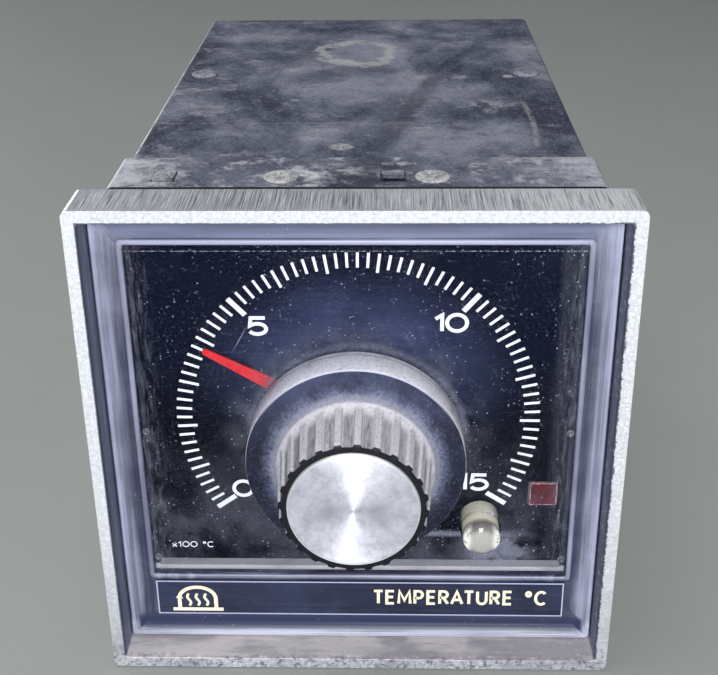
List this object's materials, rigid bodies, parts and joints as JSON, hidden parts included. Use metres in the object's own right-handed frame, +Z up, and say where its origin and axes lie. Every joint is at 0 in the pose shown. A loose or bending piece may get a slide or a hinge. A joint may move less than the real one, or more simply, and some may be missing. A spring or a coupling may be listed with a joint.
{
  "type": "dial temperature controller",
  "caption": "Square panel-mount kiln temperature controller: setpoint knob and red pointer over a scale, silver bezel, long sheet-metal case with a clamping collar.",
  "frame": {"origin": "middle of the underside of the whole instrument's box, level with the bezel's lower edge", "axes": "+Z up the bezel, +Y from the bezel towards the rear terminals, +X to the right seen from the front"},
  "size_m": [0.096, 0.1818, 0.096],
  "materials": {
    "silver_metal": "bare cast and brushed, worn",
    "case_metal": "dull dark blue-grey with pale stains",
    "steel": "plated",
    "screw_metal": "dull plated",
    "brass": "satin",
    "copper": "enamelled winding",
    "laminations": "varnished",
    "carbon": "matte",
    "phenolic": "matte",
    "black_plastic": "satin, dusty",
    "knob_plastic": "matte, dusty",
    "grey_plastic": "matte",
    "clear_plastic": "clear, scratched",
    "dial_paint": "satin print",
    "label": "satin print",
    "red_paint": "satin",
    "dark_red": "glossy",
    "lamp_lens": "clear, slightly yellowed",
    "circuit_board": "satin",
    "capacitor_sleeve": "satin"
  },
  "bodies": {
    "case": {"bezel_frame": "silver_metal", "bezel_moulding": "black_plastic", "window": "clear_plastic", "dial_spacer": "grey_plastic", "dial_plate": "dial_paint", "indicator_window": "dark_red", "nameplate": "label", "lamp_lens": "lamp_lens", "lamp_holder": "black_plastic", "pot_bushing": "brass", "pot_nut": "steel", "pot_housing": "steel", "pot_track": "carbon", "pot_wafer": "phenolic", "case_sleeve": "case_metal", "chassis_front": "steel", "chassis_rail_left": "steel", "chassis_rail_right": "steel", "control_board": "circuit_board", "power_board": "circuit_board", "filter_capacitor_upper": "capacitor_sleeve", "filter_capacitor_lower": "capacitor_sleeve", "calibration_trimmer": "capacitor_sleeve", "transformer_core": "laminations", "transformer_bobbin": "copper", "relay_base": "black_plastic", "relay_cover": "clear_plastic", "relay_yoke": "steel", "relay_coil": "copper", "edge_connector_left": "black_plastic", "edge_connector_right": "black_plastic", "rear_plate": "case_metal", "terminal_block": "black_plastic", "case_screw_top_left": "screw_metal", "case_screw_bottom_left": "screw_metal", "board_spacer_front_left": "brass", "board_spacer_rear_left": "brass", "case_screw_top_right": "screw_metal", "case_screw_bottom_right": "screw_metal", "board_spacer_front_right": "brass", "board_spacer_rear_right": "brass", "terminal_screw_1": "brass", "terminal_screw_2": "brass", "terminal_screw_3": "brass", "terminal_screw_4": "brass", "terminal_screw_5": "brass", "terminal_screw_6": "brass"},
    "setpoint": {"knob": "knob_plastic", "knob_cap": "silver_metal", "knob_set_screw": "steel", "setpoint_shaft": "brass", "pointer": "red_paint", "pot_wiper": "brass"},
    "collar": {"mounting_collar": "case_metal", "collar_screw_top_left": "screw_metal", "collar_screw_bottom_left": "screw_metal", "collar_screw_top_right": "screw_metal", "collar_screw_bottom_right": "screw_metal"},
    "armature": {"relay_armature": "steel"}
  },
  "joints": [
    {"name": "setpoint_turn", "type": "hinge", "parent": "case", "child": "setpoint", "pos_m": [0, -0.07358, 0.0495], "axis": [0, 1, 0], "range_deg": [-65.4, 184.6]},
    {"name": "collar_slide", "type": "slide", "parent": "case", "child": "collar", "axis": [0, 1, 0], "range_m": [-0.0074, 0.055]},
    {"name": "relay_pull_in", "type": "hinge", "parent": "case", "child": "armature", "pos_m": [0.0112, -0.02158, 0.077], "axis": [0, -1, 0], "range_deg": [0, 3.5], "stiffness_Nm_per_rad": 0.02, "springref_deg": -5.73}
  ]
}
